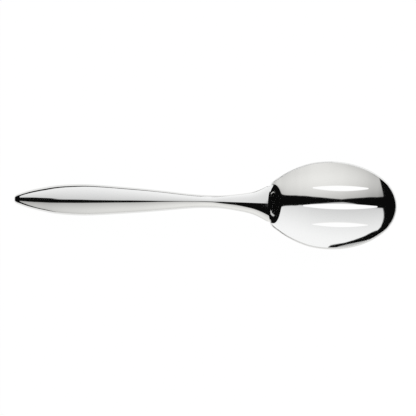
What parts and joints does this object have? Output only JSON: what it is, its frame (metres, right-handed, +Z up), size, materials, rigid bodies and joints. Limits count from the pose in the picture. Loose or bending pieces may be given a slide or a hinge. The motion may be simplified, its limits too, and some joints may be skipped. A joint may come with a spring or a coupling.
{
  "type": "slotted serving spoon",
  "caption": "Slotted serving spoon in mirror-polished stainless steel, with an egg-shaped bowl pierced by long lens-shaped slots and an arched hollow handle that flares into the bowl.",
  "frame": {"origin": "centre of the footprint, on the table that the spoon lies on", "axes": "+X along the spoon from the butt of the handle to the tip of the bowl, +Y across it, +Z up out of the bowl"},
  "size_m": [0.254, 0.0588, 0.0242],
  "materials": {
    "polished_steel": "mirror-polished stainless steel",
    "plain_steel": "mill finish, hidden inside the handle",
    "weld_metal": "ground and polished weld"
  },
  "bodies": {
    "root": {"bowl": "polished_steel", "tang": "plain_steel", "handle_upper_shell": "polished_steel", "handle_lower_shell": "polished_steel", "seam_weld": "weld_metal", "heel_weld": "weld_metal"}
  },
  "joints": []
}
